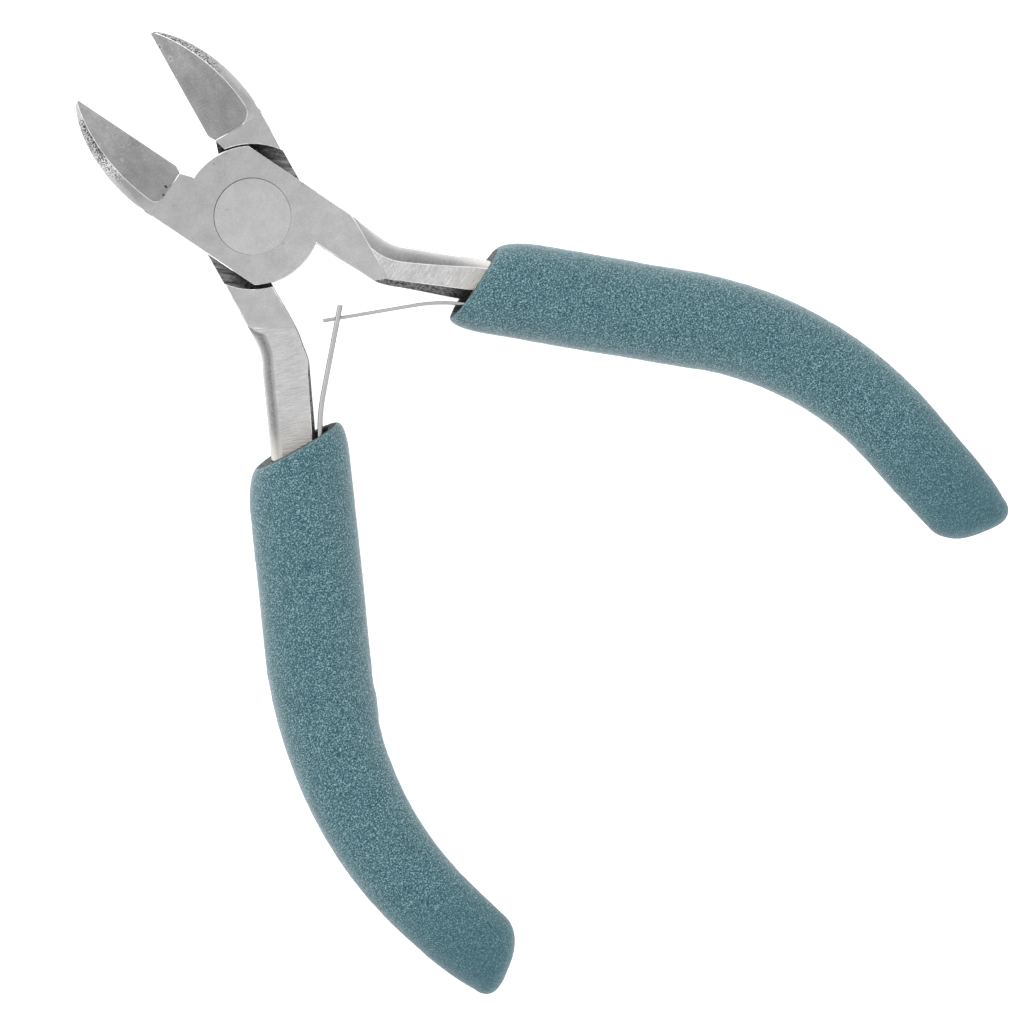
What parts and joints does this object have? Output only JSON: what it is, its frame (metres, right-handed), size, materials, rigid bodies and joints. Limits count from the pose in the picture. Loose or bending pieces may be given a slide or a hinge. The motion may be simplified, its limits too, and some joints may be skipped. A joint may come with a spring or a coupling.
{
  "type": "flush cutter",
  "caption": "Lap-jointed flush side cutter with bevelled jaws, flush pivot rivet, interlocking leaf return springs and curved foam sleeve handles.",
  "frame": {"origin": "on the pivot axis, in the plane of the joint's back face", "axes": "+Y to the nose between the open jaws, +Z along the pivot rivet to the front face"},
  "size_m": [0.0946, 0.1188, 0.0122],
  "materials": {
    "steel": "satin ground forging, matt bevels",
    "rivet": "ground flush, satin",
    "spring_steel": "bright rolled strip",
    "foam": "matt speckled foam"
  },
  "bodies": {
    "front_body": {"front_half": "steel", "pivot_rivet": "rivet", "front_spring_rivet": "spring_steel", "front_grip_sleeve": "foam"},
    "back_body": {"back_half": "steel", "back_spring_rivet": "spring_steel", "back_grip_sleeve": "foam"},
    "front_leaf": {"front_tongue_leaf": "spring_steel"},
    "back_leaf": {"back_slotted_leaf": "spring_steel"}
  },
  "joints": [
    {"name": "pivot", "type": "hinge", "parent": "front_body", "child": "back_body", "pos_m": [0, 0, 0.0035], "axis": [0, 0, 1], "range_deg": [0, 26.9], "stiffness_Nm_per_rad": 0.1, "springref_deg": -17.19},
    {"name": "front_leaf_flex", "type": "hinge", "parent": "front_body", "child": "front_leaf", "pos_m": [0.01054, -0.02414, 0.0035], "axis": [0, 0, 1], "range_deg": [-19.4, 0], "deforming": ["front_tongue_leaf"]},
    {"name": "back_leaf_flex", "type": "hinge", "parent": "back_body", "child": "back_leaf", "pos_m": [-0.0115, -0.02467, 0.0035], "axis": [0, 0, 1], "range_deg": [0, 19.4], "deforming": ["back_slotted_leaf"]}
  ],
  "couplings": [
    {"joint": "front_leaf_flex", "follows": "pivot", "ratio": -0.72},
    {"joint": "back_leaf_flex", "follows": "pivot", "ratio": 0.72}
  ]
}
